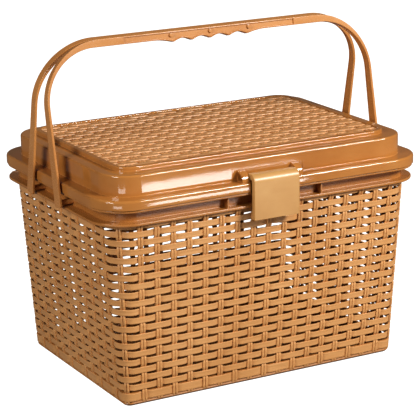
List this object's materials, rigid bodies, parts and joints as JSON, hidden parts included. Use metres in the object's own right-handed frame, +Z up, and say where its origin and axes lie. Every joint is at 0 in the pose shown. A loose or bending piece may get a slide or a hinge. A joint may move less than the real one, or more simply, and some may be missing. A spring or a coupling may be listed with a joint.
{
  "type": "picnic basket",
  "caption": "Moulded picnic basket with a wicker-pattern tub, a domed lid held by front and rear clips, and folding bail handles.",
  "frame": {"origin": "middle of the footprint, on the surface the basket stands on", "axes": "+X along the length, +Y from the front latch to the rear latch, +Z up"},
  "size_m": [0.4092, 0.3, 0.3784],
  "materials": {
    "weave_plastic": "caramel brown polypropylene, satin, moulded in a wicker pattern",
    "lid_plastic": "caramel brown polypropylene, polished dome and flange",
    "latch_plastic": "caramel brown polypropylene, satin to polished",
    "handle_plastic": "caramel brown polypropylene, satin to polished"
  },
  "bodies": {
    "tub": {"tub": "weave_plastic"},
    "lid": {"lid": "lid_plastic"},
    "front_latch": {"front_latch": "latch_plastic"},
    "rear_latch": {"rear_latch": "latch_plastic"},
    "front_handle": {"front_handle": "handle_plastic"},
    "rear_handle": {"rear_handle": "handle_plastic"}
  },
  "joints": [
    {"name": "lid_lift", "type": "slide", "parent": "tub", "child": "lid", "axis": [0, 0, 1], "range_m": [0, 0.07]},
    {"name": "front_latch_hinge", "type": "hinge", "parent": "lid", "child": "front_latch", "pos_m": [0, -0.1368, 0.2393], "axis": [-1, 0, 0], "range_deg": [0, 110]},
    {"name": "rear_latch_hinge", "type": "hinge", "parent": "lid", "child": "rear_latch", "pos_m": [0, 0.1368, 0.2393], "axis": [1, 0, 0], "range_deg": [0, 110]},
    {"name": "front_handle_hinge", "type": "hinge", "parent": "tub", "child": "front_handle", "pos_m": [0, -0.036, 0.213], "axis": [1, 0, 0], "range_deg": [0, 153]},
    {"name": "rear_handle_hinge", "type": "hinge", "parent": "tub", "child": "rear_handle", "pos_m": [0, 0.036, 0.213], "axis": [-1, 0, 0], "range_deg": [0, 153]}
  ]
}
